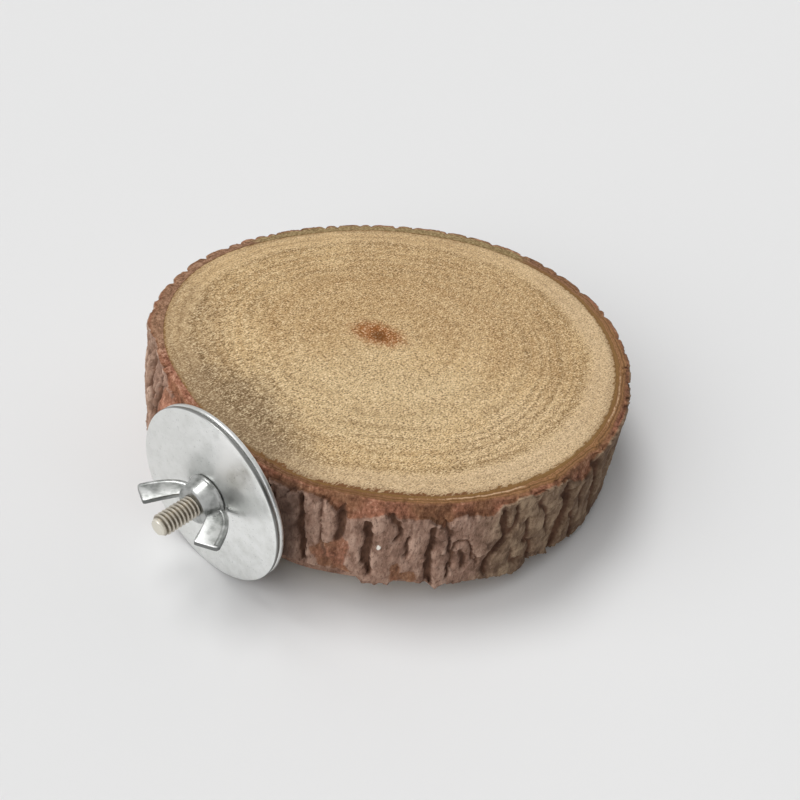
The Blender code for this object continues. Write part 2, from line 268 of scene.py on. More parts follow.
class Finish(Recipe):
    """A material. What is the same all over it is set on the shader itself."""

    def __init__(self, name, **constants):
        self.material = bpy.data.materials.new(name)
        self.material.use_nodes = True
        super().__init__(self.material.node_tree)
        self.shader = self.tree.nodes["Principled BSDF"]
        for socket, value in constants.items():
            self.join(self.shader.inputs[socket.replace("_", " ")], value)

    def attribute(self, name):
        return self.add("Attribute", {}, out="Fac", attribute_name=name)

    def place(self, scale=(1, 1, 1), shift=(0, 0, 0), turn=0.0):
        """Where a point is on the piece, moved, turned about Z and then scaled."""
        point = self.add("TexCoord", {}, out="Object")
        for step in ({"Location": shift}, {"Rotation": (0, 0, turn)}, {"Scale": scale}):
            point = self.add("Mapping", {"Vector": point, **step})
        return point

    def length(self, place):
        return self.add("VectorMath", {0: place}, out="Value", operation="LENGTH")

    def axis(self, number, unit=1.0):
        """How far along X (0), Y (1) or Z (2) a point is, in that unit."""
        return self.add("SeparateXYZ", {0: self.place(scale=(1 / unit,) * 3)}, out=number)

    def patch(self, oval, ragged, low, high):
        """A flat oval patch with a ragged border. The oval is (x, y, half width, half length, turn) in mm."""
        x, y, half_wide, half_long, turn = oval
        spot = self.place(shift=(-x * MM, -y * MM, 0), turn=turn,
                          scale=(1 / (half_wide * MM), 1 / (half_long * MM), 0))
        return (self.length(spot) + ragged).rise(low, high)

    def grain(self, size, where=None, detail=3.0, rough=0.55):
        """Soft noise from 0 to 1 whose lumps are about size metres across."""
        return self.add("TexNoise", {"Vector": where or self.place(), "Scale": 1 / size,
                                     "Detail": detail, "Roughness": rough})

    def tell(self):
        print("%s has %d nodes" % (self.material.name, len(self.tree.nodes)))

    def use(self, tint, rough, normal, *pieces):
        """Joins the patterns to the shader and gives the finish to the pieces."""
        for name, pattern in (("Base Color", tint), ("Roughness", rough), ("Normal", normal)):
            self.join(self.shader.inputs[name], pattern)
        for piece in pieces:
            piece.data.materials.append(self.material)
        self.tell()


print("what can be done with a pattern:", [name for name in vars(Pattern) if not name.startswith("_")])

# %% [markdown]
# ## Table and light
#
# The platform lies on a pale table. It leans a little, because it stands on the lower edge of its washers and
# on the far lower edge of the slice, so the table is turned to touch both. The light is that of a small
# studio: a key lamp high on the left draws the shadow, a very broad one in front fills it, and a weak one
# behind lifts the back. A picture of a real sky could light it too, but lamps need no file. Their levels and
# the sky's add up to one, so that a colour shows about as it is written.


# %% The table
def only(piece):
    """Leaves edit mode, selects one piece alone and makes it the active one."""
    if bpy.context.object and bpy.context.object.mode != "OBJECT":
        bpy.ops.object.mode_set(mode="OBJECT")
    bpy.ops.object.select_all(action="DESELECT")
    piece.select_set(True)
    bpy.context.view_layer.objects.active = piece


FAR_EDGE = 40.1 * MM
TABLE_SIZE = 4.0
PALE = (228, 228, 228)
lean = math.atan2(-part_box("inner_washer")[0][2], FAR_EDGE + INNER_WASHER_FACE)
bpy.ops.object.select_all(action="DESELECT")
bpy.ops.mesh.primitive_plane_add(size=TABLE_SIZE, location=(0, FAR_EDGE, 0), rotation=(lean, 0, 0))
table = called("table")
matte = Finish("pale_table", Base_Color=PALE, Roughness=0.9, Specular_IOR_Level=0.1)
table.data.materials.append(matte.material)
table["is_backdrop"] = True
print("the platform leans by %.2f degrees" % math.degrees(lean))

# %% The sky
SKY_LIGHT = 0.05
world = bpy.data.worlds.new("studio")
world.use_nodes = True
bpy.context.scene.world = world
bpy.context.scene.view_settings.view_transform = "Standard"
studio = Recipe(world.node_tree)
studio.tree.nodes.remove(studio.tree.nodes["Background"])
is_camera, is_glossy, is_through = (studio.add("LightPath", {}, out="Is %s Ray" % kind)
                                    for kind in ("Camera", "Glossy", "Transmission"))
light_sky = studio.add("Background", {"Color": (255, 255, 255), "Strength": SKY_LIGHT})
seen_sky = studio.add("Background", {"Color": PALE})
sky = studio.add("MixShader", {0: is_camera.most(is_glossy).most(is_through), 1: light_sky, 2: seen_sky})
studio.join(studio.tree.nodes["World Output"].inputs["Surface"], sky)
print("the sky gives %.2f of the light" % SKY_LIGHT)


# %% The lamps
def lamp(name, around, up, level, wide, in_metal=True):
    """A sun that stands so many degrees round and up. Level is its share of the light on the table."""
    around, up = math.radians(around), math.radians(up)
    towards = Vector((math.cos(up) * math.cos(around), math.cos(up) * math.sin(around), math.sin(up)))
    bpy.ops.object.light_add(type="SUN", location=0.6 * towards)
    piece = called(name)
    aim(piece, towards)
    piece.data.energy = level * math.pi / math.sin(up)
    piece.data.angle = math.radians(wide)
    piece.visible_glossy = in_metal
    print("%s: %.2f W/m2" % (name, piece.data.energy))


lamp("key", 185, 66, 0.34, 26)
lamp("front_fill", 255, 40, 0.50, 80, in_metal=False)
lamp("back_fill", 90, 30, 0.11, 80, in_metal=False)

# %% A dark card on the right, for the metal to mirror
CARD_SIZE = (1.1, 0.5, 1.0)
CARD_DISTANCE = 0.9
towards_card = Vector((0.82, 0.48, 0.30)).normalized()
bpy.ops.mesh.primitive_plane_add(size=1.0, location=CARD_DISTANCE * towards_card)
card = called("dark_card")
aim(card, towards_card)
card.scale = CARD_SIZE
black = Finish("dark_cloth", Base_Color=(52, 52, 54), Roughness=1.0, Specular_IOR_Level=0.0)
card.data.materials.append(black.material)
card.visible_camera = card.visible_diffuse = card.visible_shadow = False
card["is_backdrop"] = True
print("the card is %.1f by %.1f m" % CARD_SIZE[:2])

# %% [markdown]
# ## The wood
#
# A slice sawn across a branch shows its growth rings. They aren't true circles: they follow the outline of
# the branch and close in on the pith, which is off centre. So the top isn't one flat face. It is built the
# way the rings are, as outlines drawn in towards the pith, and each point keeps how far out it is, from 0 at
# the pith to 1 at the bark. The finish then draws its rings with that number.


# %% Helpers for edit mode
def edit(piece):
    """Opens a piece in edit mode, with all of it selected."""
    only(piece)
    bpy.ops.object.mode_set(mode="EDIT")
    bpy.ops.mesh.select_all(action="SELECT")


def choose_edges(piece, test):
    """In edit mode, selects the edges whose two end points pass the test."""
    bpy.ops.mesh.select_mode(type="EDGE")
    bpy.ops.mesh.select_all(action="DESELECT")
    shape = bmesh.from_edit_mesh(piece.data)
    shape.verts.index_update()
    for side in shape.edges:
        if test(side.verts):
            side.select_set(True)
    bmesh.update_edit_mesh(piece.data)


def level_at(height):
    """A test for edges that lie level at one height."""
    return lambda ends: all(abs(end.co.z - height) < 1e-6 for end in ends)


def close_up(distance=1e-6):
    """Merges doubled points, turns every face outwards and leaves edit mode."""
    bpy.ops.mesh.select_all(action="SELECT")
    bpy.ops.mesh.remove_doubles(threshold=distance)
    bpy.ops.mesh.normals_make_consistent(inside=False)
    bpy.ops.object.mode_set(mode="OBJECT")


def apply_modifier(piece, kind, **settings):
    only(piece)
    step = piece.modifiers.new(kind.lower(), kind)
    for name, value in settings.items():
        setattr(step, name, value)
    bpy.ops.object.modifier_apply(modifier=step.name)


print("pieces can be opened, chosen from and closed up")


# %% Helpers for points
def spots(piece, what="co"):
    """The points of a piece, or their normals, as one array, a row for each."""
    numbers = np.empty(3 * len(piece.data.vertices))
    piece.data.vertices.foreach_get(what, numbers)
    return numbers.reshape(-1, 3)


def move_spots(piece, places):
    piece.data.vertices.foreach_set("co", np.asarray(places, dtype=float).ravel())
    piece.data.update()


def round_places(radius, angle, height):
    """Points that far from the Z axis, turned by those angles, at those heights."""
    return np.stack([radius * np.cos(angle), radius * np.sin(angle), height], axis=1)


def in_mm(profile):
    return [(radius * MM, height * MM) for radius, height in profile]


def keep_attributes(piece, **values):
    """Stores numbers for each point, for the finish to read."""
    for name, numbers in values.items():
        layer = piece.data.attributes.new(name, "FLOAT", "POINT")
        layer.data.foreach_set("value", np.asarray(numbers, dtype=float))


def report(piece):
    low, high = spots(piece).min(axis=0) / MM, spots(piece).max(axis=0) / MM
    triangles = sum(len(face.vertices) - 2 for face in piece.data.polygons)
    print("%s: %d triangles, from %s to %s mm" % (piece.name, triangles, low.round(1), high.round(1)))


def shade_smooth(piece, sharpest):
    """Shades a piece smoothly, but for edges sharper than that many degrees."""
    only(piece)
    bpy.ops.object.shade_smooth_by_angle(angle=math.radians(sharpest))
    report(piece)


print("points can be read, moved, marked and reported")

# %% Draw the outline and pull it up
WOOD_SIDES = 360
RING_STEPS = 34
SAWN_EDGE = 0.05 * MM
OUTERMOST_RING = 0.996

bpy.ops.object.select_all(action="DESELECT")
bpy.ops.mesh.primitive_circle_add(vertices=WOOD_SIDES, radius=1.0)
wood = called("sawn_disc")
outline = spots(wood)
angle = np.arctan2(outline[:, 1], outline[:, 0])
edge = wood_radius(angle)
move_spots(wood, round_places(edge, angle, np.full_like(edge, SAWN_EDGE)))
edit(wood)
wall = SLICE_THICKNESS - 2 * SAWN_EDGE
bpy.ops.mesh.extrude_edges_move(TRANSFORM_OT_translate={"value": (0, 0, wall)})
print("%d sides, %.1f mm high" % (WOOD_SIDES, wall / MM))


# %% Draw both faces in towards the pith
def next_ring(shrink, centre, lift=0):
    """Extrudes the selected outline once and draws it in towards the centre."""
    bpy.ops.mesh.extrude_edges_move(TRANSFORM_OT_translate={"value": (0, 0, lift)})
    bpy.ops.transform.resize(value=(shrink, shrink, 1), center_override=centre)


def draw_in(height, first_lift):
    """Draws the selected outline inwards again and again, then closes it at the pith."""
    shares = [1.0] + [OUTERMOST_RING * (1 - step / RING_STEPS) for step in range(RING_STEPS)]
    for step, (before, after) in enumerate(zip(shares, shares[1:])):
        next_ring(after / before, (PITH.x, PITH.y, height), first_lift if step == 0 else 0)
    bpy.ops.mesh.merge(type="CENTER")


draw_in(SLICE_THICKNESS, SAWN_EDGE)
choose_edges(wood, level_at(SAWN_EDGE))
draw_in(0, -SAWN_EDGE)
close_up()
report(wood)

# %% [markdown]
# The bolt needs its drilled hole. A thin cylinder, laid along the bolt's axis, is cut out of the wood with a
# Boolean modifier and then thrown away. The bark gets the same cut later. The cylinder is spun from a
# profile, as the washers and the nut are, so that one helper serves all of them.


# %% Lathe work
def string(name, places, closed=False):
    """Points joined in a row. A circle already has its points joined up, so each is moved to its place."""
    bpy.ops.object.select_all(action="DESELECT")
    bpy.ops.mesh.primitive_circle_add(vertices=len(places), radius=1.0)
    piece = called(name)
    move_spots(piece, places)
    if not closed:
        edit(piece)
        choose_edges(piece, lambda ends: {end.index for end in ends} == {0, len(places) - 1})
        bpy.ops.mesh.delete(type="EDGE")
        bpy.ops.object.mode_set(mode="OBJECT")
    return piece


def lathe(name, profile, steps, closed=False):
    """Spins a profile of (radius, height) in metres round the Z axis."""
    piece = string(name, [(radius, 0, height) for radius, height in profile], closed)
    edit(piece)
    bpy.ops.mesh.spin(steps=steps, angle=AROUND, center=(0, 0, 0), axis=(0, 0, 1))
    close_up()
    return piece


def lay_on_bolt(piece, distance):
    """Lays an upright piece along the bolt, with its foot at that distance from the middle."""
    only(piece)
    piece.rotation_euler = (math.pi / 2, 0, 0)
    piece.location = (0, -distance, BOLT_HEIGHT)
    bpy.ops.object.transform_apply(location=True, rotation=True, scale=True)


print("round pieces are spun upright and laid along the bolt, %.1f mm up" % (BOLT_HEIGHT / MM))

# %% Drill the hole
HOLE_RADIUS = 2.2 * MM
HOLE_SIDES = 48
DRILL_SPARE = 1.0 * MM


def drill():
    length = BOLT_TIP - BOLT_POINT + DRILL_SPARE
    piece = lathe("drill", [(0, 0), (HOLE_RADIUS, 0), (HOLE_RADIUS, length), (0, length)], HOLE_SIDES)
    lay_on_bolt(piece, BOLT_POINT - DRILL_SPARE)
    return piece


def cut(piece, tool, operation="DIFFERENCE", solver="EXACT"):
    """Cuts the tool out of a piece, or joins it on, and removes the tool."""
    apply_modifier(piece, "BOOLEAN", object=tool, operation=operation, solver=solver)
    bpy.data.objects.remove(tool, do_unlink=True)


cut(wood, drill())
report(wood)

# %% Give each point its place among the rings
around = np.linspace(-math.pi, math.pi, 721)
edge_x = wood_radius(around) * np.cos(around) - PITH.x
edge_y = wood_radius(around) * np.sin(around) - PITH.y
edge_turn, edge_far = np.arctan2(edge_y, edge_x), np.hypot(edge_x, edge_y)
order = np.argsort(edge_turn)
from_pith = spots(wood)[:, :2] - np.array(PITH.xy)
far = np.hypot(*from_pith.T)
reach = np.interp(np.arctan2(*from_pith.T[::-1]), edge_turn[order], edge_far[order], period=AROUND)
keep_attributes(wood, ring=far / reach)
shade_smooth(wood, 35)
print("rings from %.2f to %.2f" % ((far / reach).min(), (far / reach).max()))

# %% [markdown]
# The finish has four layers, as the real surface has. The rings are broad soft bands, and uneven, with warm
# and pale patches among them. The last millimetres under the bark are paler. The pith is a reddish stain with
# a dark heart, and over all of it lies the torn grain that a saw leaves: short dark and pale flecks. A wood
# texture from the menu draws true circles, so these rings follow the number that each point keeps instead.

# %% The rings of the wood
sawn = Finish("sawn_end_grain", Specular_IOR_Level=0.25)
ring = sawn.attribute("ring")
waver = sawn.grain(9 * MM, detail=2.0)
bent_ring = ring + (waver - 0.5) * 0.06
cloud = sawn.grain(11 * MM)
drift = (cloud - 0.5) * 1.6
to_right = sawn.axis(0, 40 * MM).rise(-0.5, 0.5)
sapwood = (ring + waver * 0.09).rise(0.90, 0.96)
patchy = ring.rise(0.40, 0.75) * cloud.rise(0.70, 0.42)
thin_lines = bent_ring.stripes(25.0, 1.0).rise(0.44, 0.62) * patchy
last_ring = bent_ring.rise(0.845, 0.865) * bent_ring.rise(0.895, 0.875)

wood_tint = bent_ring.stripes(11.0, 3.0, 0.6).ramp(
    (0.28, 188, 153, 107), (0.45, 202, 169, 122), (0.60, 213, 182, 136), (0.76, 194, 160, 113)).coats(
    (sawn.patch((2, 20, 26, 15, 0), drift, 1.25, 0.45) * 0.50, (172, 136, 92)),
    (sawn.patch((-14, -1, 14, 19, 0), drift, 1.25, 0.45) * 0.52, (176, 140, 94)),
    (sawn.patch((7, -15, 22, 15, -0.6), drift, 1.25, 0.45) * 0.55, (212, 186, 144)),
    (sawn.patch((29, -3, 8, 14, 0), drift, 1.25, 0.45) * 0.50, (214, 186, 146)),
    (thin_lines * 0.66, (156, 124, 82)),
    (sapwood * (to_right * 0.4 + 0.15), (208, 182, 148)),
    (last_ring * 0.22, (160, 128, 88)))
sawn.tell()

# %% Darker patches near the bolt, and the pith
blotch = sawn.grain(3.2 * MM, detail=4.0)
pith_edge = sawn.grain(0.9 * MM, detail=5.0, rough=0.7) * 1.3
heart = sawn.patch((-3.6, -0.8, 2.0, 1.7, 0), pith_edge, 1.70, 1.00)
wood_tint = wood_tint.coats(
    (sawn.patch((-4, -33, 20, 9, 0.12), blotch * 0.8, 1.60, 0.75) * 0.70, (124, 102, 78)),
    (sawn.patch((-22, -27, 18, 6, 0.75), blotch * 0.8, 1.7, 0.9) * 0.40, (150, 124, 94)),
    (sawn.patch((-4.1, -0.5, 5.4, 3.3, -0.40), pith_edge, 1.90, 1.10) * 0.92, (154, 88, 32)),
    (heart * 0.95, (112, 66, 24)))
sawn.tell()

# %% The torn grain and the edge
fleck = sawn.grain(0.20 * MM, sawn.place(scale=(1, 0.50, 1), turn=0.10), 2.0, 0.65)
coarse_fleck = sawn.grain(0.45 * MM, sawn.place(scale=(1, 0.34, 1), turn=0.10), 3.0, 0.65)
stringy = sawn.patch((-14, -26, 26, 13, 0.4), drift, 1.30, 0.60)
torn = fleck * 0.70 + coarse_fleck * 0.30 + stringy * 0.12 * (coarse_fleck - 0.5)
calm = 0.92 - (heart * 0.6).most(sapwood * 0.30)
near_front = sawn.patch((20, -27, 20, 12, -0.6), 0.0, 1.2, 0.6)
speckled = (blotch + coarse_fleck - 1.0) * 0.05 + 0.008
fringe = (coarse_fleck - 0.5) * 0.06 + (fleck - 0.5) * 0.04 + near_front * speckled
edge_tint = sawn.mix(near_front * 0.85, (128, 95, 56), (116, 78, 50))
wood_tint = wood_tint.coats(
    (torn.rise(0.490, 0.412) * calm * 0.82, (84, 60, 32)),
    (torn.rise(0.520, 0.61) * calm * 0.66, (255, 236, 196)),
    ((ring + fringe).rise(0.990, 1.002), edge_tint))
sawn.use(wood_tint, fleck.span(0.72, 0.95), torn.bump(0.14 * MM, 0.8), wood)
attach(wood, "perch")
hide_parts("wood_slice")

# %% [markdown]
# ## The bark
#
# The bark is the roughest piece. Its outside is split into plates with dark furrows between them. Along
# the sawn edges the plates have broken away and the red inner bark shows. Such a shape can't be extruded face
# by face, so only its plain ring is made that way, with rows fine enough to carry the relief. Every point is
# then pushed in by a depth worked out in code: first the furrows, each drawn as a line round the slice,
# then the broken edges, and last the small roughness.

# %% A plain ring with fine rows
BARK_SIDES = 880
WALL_ROWS = 74
RIM_STEPS = 9
FOOT_STEPS = 5
PLAIN_RADIUS = 40 * MM
PLAIN_WIDTH = 3 * MM

bpy.ops.object.select_all(action="DESELECT")
bpy.ops.mesh.primitive_circle_add(vertices=BARK_SIDES, radius=PLAIN_RADIUS)
bark = called("bark_ring")
edit(bark)
bpy.ops.mesh.extrude_edges_move(TRANSFORM_OT_translate={"value": (0, 0, SLICE_THICKNESS)})
choose_edges(bark, lambda ends: abs(ends[0].co.z - ends[1].co.z) > 1 * MM)
bpy.ops.mesh.subdivide(number_cuts=WALL_ROWS - 1)


def step_in(height, steps):
    """Extrudes the outer edge at that height inwards, by the width of the bark."""
    choose_edges(bark, level_at(height))
    radius = PLAIN_RADIUS
    for step in range(steps):
        smaller = PLAIN_RADIUS - PLAIN_WIDTH * (step + 1) / steps
        next_ring(smaller / radius, (0, 0, height))
        radius = smaller


step_in(SLICE_THICKNESS, RIM_STEPS)
step_in(0, FOOT_STEPS)
inside = (PLAIN_RADIUS - PLAIN_WIDTH) * 1.0001
choose_edges(bark, lambda ends: all(math.hypot(end.co.x, end.co.y) < inside for end in ends))
bpy.ops.mesh.bridge_edge_loops()
close_up(1e-7)
report(bark)

# %% [markdown]
# The furrows that show from the front are drawn one by one, as someone carving the piece would: the angle
# round the slice in degrees, the height in millimetres, and for each line how wide and how deep it is. The
# rest of the way round they are drawn by chance, with the same spacing.

# %% Draw the furrows
FURROWS = [
    (1.9, 1.4, [(-147.5, 15), (-146.5, 10), (-147, 5), (-147.5, 0)]),
    (0.9, 1, [(-141.5, 12), (-140.5, 8), (-141, 3)]),
    (2.5, 1.5, [(-131, 18), (-127, 15), (-123, 12), (-120, 9)]),
    (1.3, 1.3, [(-69.8, 17), (-69.4, 13.1), (-69, 9.3), (-67.9, 6.7), (-67.7, 2.5)]),
    (0.5, 0.6, [(-64.3, 17.3), (-64.6, 15.2), (-64.7, 13.1), (-64.1, 10.8), (-63.7, 7.9), (-62.2, 4)]),
    (1.5, 1.3, [(-59.9, 16.6), (-59.6, 13.2), (-59.9, 10.4), (-60.6, 8.9)]),
    (1.6, 1.4, [(-53.7, 15), (-53.2, 11.7), (-53.1, 8.7), (-52.7, 6.4), (-52, 3.3)]),
    (0.9, 1, [(-48.7, 16.4), (-46.6, 15.2), (-46.3, 12.9), (-47, 11.4)]),
    (0.8, 1, [(-44.2, 12.2), (-44.2, 9.9), (-43.8, 8)]),
    (1.4, 1.3, [(-38.3, 14.2), (-38.9, 12), (-38.9, 9.6), (-38.6, 7), (-38, 4), (-36.5, 1.5)]),
    (0.7, 0.9, [(-36.4, 16), (-34.6, 13.2), (-33.8, 9.4), (-33.1, 5.8), (-32.7, 2.9)]),
    (0.6, 0.8, [(-33.2, 6.2), (-32.6, 10.5), (-30.8, 11.7), (-29.1, 10.6), (-28.2, 8.2), (-26.6, 5.6)]),
    (1.2, 0.6, [(-31, 9), (-30.3, 7), (-29.6, 5)]),
    (1.2, 1.3, [(-22.8, 18.7), (-22, 16.1), (-20.9, 13.2), (-19.9, 10.8), (-21.5, 8.7), (-23.2, 6.7),
                (-24.1, 4), (-23.6, 2.3)]),
    (0.4, 0.5, [(-17.3, 6.1), (-16.5, 3.7), (-15.2, 2.9)]),
    (0.8, 0.9, [(-18.4, 18.2), (-18.1, 14.6), (-18.4, 12.3), (-19.2, 10.2)]),
    (0.6, 0.8, [(-12, 18.4), (-12, 16.1), (-10.9, 14.6), (-9.5, 13.7), (-8.8, 11.4), (-8.2, 9.3),
                (-6.1, 6.1)]),
    (0.8, 0.9, [(-14.5, 13.7), (-14.5, 11.7), (-13.7, 9.6), (-13.7, 7.3), (-12, 6.4), (-11.4, 4.6),
                (-10.9, 2.3)]),
    (0.4, 0.5, [(-17.5, 7.3), (-16.8, 5.2), (-15.8, 3.4), (-13.7, 3.4)]),
    (1.9, 1.5, [(-4, 17.6), (-3.4, 14.6), (-1.9, 11.7), (-1.9, 8.7), (-2.3, 5.8), (-2.5, 2.9), (-3.1, 1)]),
    (0.6, 0.7, [(0.2, 14.6), (-1, 13.4), (-1.9, 12.5)]),
    (0.9, 0.9, [(3.4, 13.7), (4, 11.7), (4.9, 9.3), (5.3, 7.9)]),
    (0.8, 0.9, [(1.5, 8.7), (3, 6.4), (4, 4), (4.9, 1.7), (6.1, 0.2)]),
    (1.8, 1.4, [(6.4, 19.5), (7.8, 17), (9.5, 13.7), (10.8, 10.8), (12, 7.9), (13.3, 5.2), (14, 2)]),
]

chance = random.Random(11).uniform
at = 21.0
while at < 284.0:
    width, depth = chance(0.7, 1.7), chance(0.9, 1.4)
    slant = chance(-1.5, 3.0)
    line = []
    for height in (1.5, 5.5, 9.5, 13.5, 17.5):
        line.append((at + slant * (0.5 - height / 19) + chance(-0.7, 0.7), height))
    FURROWS.append((width, depth, line))
    at += chance(5.5, 9.5)
at = 55.0
while at < 235.0:
    FURROWS.append((chance(0.3, 0.8), chance(0.3, 0.8), [(at, 13), (at + chance(-1, 1), 20)]))
    at += chance(2.5, 9.0)
for crack in range(60):
    at, low, lift = chance(16, 284), chance(0, 12), chance(1.2, 3.2)
    FURROWS.append((chance(0.3, 1.0), chance(0.4, 1.0), [
        (at, low), (at + chance(-1.6, 1.6), low + lift), (at + chance(-1, 1), low + 2 * lift)]))
print(len(FURROWS), "furrows")

# %% [markdown]
# The plates don't reach the sawn edges. Their tops and feet are drawn in the same way, as heights at angles
# round the slice. A few oval places are worn as well, and a cream line shows on parts of the rim.

# %% Where the plates end
PLATE_TOPS = [(-180, 20.5), (-145, 20.5), (-124, 20), (-115, 17.5), (-105, 15.5), (-90, 16.6), (-75, 16.6),
              (-70, 17), (-67.5, 18), (-64, 17), (-61.5, 15.8), (-59.5, 14.2), (-57, 14.9), (-54.5, 15.3),
              (-51, 16.4), (-47, 16.2), (-44, 16.3), (-40, 16.1), (-38.3, 14.9), (-36, 14.5), (-34, 16.2),
              (-31, 16.7), (-28, 16.4), (-25, 15.7), (-23, 17.8), (-19, 18.6),
              (-12, 18.5), (-9, 18.8), (-6, 18.4), (-4, 17.8), (-2, 16.2), (2, 15.2), (5, 15.6), (7, 17.5),
              (9, 18.6), (20, 18.2), (40, 18.6), (60, 20.5), (180, 20.5)]
PLATE_FEET = [(-180, 0.6), (-140, 1), (-110, 1.6), (-90, 2), (-72, 2.6), (-66, 2.5), (-60, 2.7), (-56, 2.7),
              (-54, 2.2), (-53, 1.2), (-50, 0.9), (-46, 2), (-42, 2.2), (-38, 2.3), (-36.5, 0.8),
              (-35.5, 0.2), (-34.5, 1.2), (-30, 1.3), (-24, 1.4), (-20, 1), (-16, 0.6), (-12.5, 0.6),
              (-11, 2.2), (-7, 2), (-4, 1.2), (0, 1.2), (3, 1), (6, 0), (9, 0.6), (12, 0.3), (40, 0.8),
              (90, 0), (130, 0.7), (180, 0.6)]
# Worn places: the angle and height of the middle, half the width and height, in degrees and millimetres
WORN = [(-61.5, 5.6, 6, 3.6), (-59, 8.6, 2.4, 1.8), (-43.5, 3.2, 3.4, 2.2), (-45.5, 5, 1.6, 1.6),
        (-113, 12, 6, 6), (150, 4, 8, 3), (75, 12, 6, 5), (-135, 5, 7, 4)]
# Where a cream line shows on the rim, by angle
STREAKS = [(-50, 0), (-46, 0.5), (-38, 0.5), (-34, 0.9), (-17, 0.9), (-14, 0), (16, 0), (20, 0.7), (38, 0.7),
           (42, 0.3), (70, 0.3), (75, 0)]
print("plate tops are given at %d angles, feet at %d" % (len(PLATE_TOPS), len(PLATE_FEET)))


# %% Helpers for patterns on points
def along(degrees, stops):
    """What a table gives round the slice, straight between its angles."""
    return np.interp(turned_from(0, degrees), *zip(*stops))


def smooth(value, low, high):
    share = np.clip((value - low) / (high - low), 0, 1)
    return share * share * (3 - 2 * share)


def rough_at(places, size, octaves=3):
    """Soft noise between about -1 and 1 at each place. Size is how far apart its lumps are."""
    return np.array([noise.fractal(Vector(place), 0.9, 2.1, octaves) for place in places / size])


def flakes_at(places, size):
    """A chance number from 0 to 1 for the flake that each place lies on, and how far the next flake is."""
    level, apart = np.empty((2, len(places)))
    for row, place in enumerate(places / size):
        distances, middles = noise.voronoi(Vector(place))
        level[row] = (math.sin(middles[0].dot(Vector((12.99, 78.23, 37.72)))) * 43758.5) % 1
        apart[row] = distances[1] - distances[0]
    return level, apart


print("smooth noise at one place:", rough_at(np.ones((1, 3)), 0.7).round(2))

# %% Measure where every point is
plain = spots(bark)
angle = np.arctan2(plain[:, 1], plain[:, 0])
degrees = np.degrees(angle)
height = plain[:, 2] / MM
share_in = np.clip((PLAIN_RADIUS - np.hypot(plain[:, 0], plain[:, 1])) / PLAIN_WIDTH, 0, 1)
on_wall = share_in < 1e-4
tall = plain * (1, 1, 0.62) / MM
small_rough = rough_at(tall, 0.7)
mid_rough = rough_at(tall + 40, 2.2)
wide_rough = rough_at(tall + 90, 7.0)
ragged_tall = tall + 0.35 * np.stack([small_rough, np.roll(small_rough, 7), mid_rough], axis=1)
flake, flake_apart = flakes_at(ragged_tall, 2.5)
chip, chip_apart = flakes_at(ragged_tall + 17, 1.1)


def away_from(middle, low, high):
    """From 0 at low degrees away from an angle to 1 at high degrees away, and smooth between."""
    return smooth(np.abs(turned_from(middle, degrees)), low, high)


at_back = away_from(-60, 70, 95)
to_left = away_from(-120, 18, 8)
print("%d points, %d of them on the outside" % (len(plain), on_wall.sum()))

# %% Measure every point against the furrows
ARC = math.radians(1) * 40
NEAR_ENOUGH = 12
arc = degrees * ARC + 0.36 * mid_rough + 0.22 * small_rough + 0.25 * (flake - 0.5) + 0.20 * (chip - 0.5)
up = height + 0.5 * wide_rough + 0.3 * small_rough
furrow, carve = np.zeros((2, len(plain)))
nearest = np.full(len(plain), 9.0)
for width, depth, line in FURROWS:
    width *= 1 + 0.55 * float(smooth(line[0][0], -30, -5)) * (line[0][0] < 20)
    line = np.array(line) * (ARC, 1.0)
    middle = line[:, 0].mean()
    beside = (arc - middle + 180 * ARC) % (360 * ARC) - 180 * ARC + middle
    close = np.abs(beside - middle) < NEAR_ENOUGH
    gap = np.full(close.sum(), 99.0)
    for step, (begin, end) in enumerate(zip(line, line[1:])):
        across, rise = end - begin
        right, high = beside[close] - begin[0], up[close] - begin[1]
        share = np.clip((right * across + high * rise) / (across ** 2 + rise ** 2), 0, 1)
        away = np.hypot(right - share * across, high - share * rise)
        taper = 0.34 + 0.56 * np.sin(math.pi * np.clip((step + share) / (len(line) - 1), 0, 1)) ** 0.5
        gap = np.minimum(gap, away - width / 2 * taper * (1 + 0.45 * mid_rough[close]))
    steep = smooth(gap, 0.34, -0.42)
    furrow[close] = np.maximum(furrow[close], steep * min(1.0, 0.5 + depth / 2.8))
    carve[close] = np.maximum(carve[close], steep * depth)
    nearest[close] = np.minimum(nearest[close], np.maximum(gap, 0))
runs_out = 1 - (0.85 - 0.55 * at_back - 0.75 * to_left) * smooth(height, 15.6, 18.0)
furrow *= runs_out
carve *= runs_out * (0.85 + 0.25 * mid_rough)
print("in a furrow: %.0f%% of the outside" % (100 * (furrow[on_wall] > 0.5).mean()))

# %% Find where the plates are whole, broken or worn
top_edge = along(degrees, PLATE_TOPS) + 0.45 * mid_rough + 0.2 * small_rough + 0.9 * (flake - 0.5)
foot_edge = along(degrees, PLATE_FEET) + 0.3 * mid_rough + 0.2 * small_rough + 0.5 * (chip - 0.5)
above = smooth(height - top_edge, -0.15, 0.20)
below = smooth(foot_edge - height, -0.10, 0.18)
worn = np.zeros(len(plain))
for worn_angle, worn_height, half_wide, half_tall in WORN:
    away = np.hypot(turned_from(worn_angle, degrees) / half_wide, (height - worn_height) / half_tall)
    worn = np.maximum(worn, smooth(away + 0.3 * mid_rough + 0.5 * (flake - 0.5), 1.20, 0.75))
print("broken away: %.0f%% of the outside" % (100 * (above[on_wall] > 0.5).mean()))

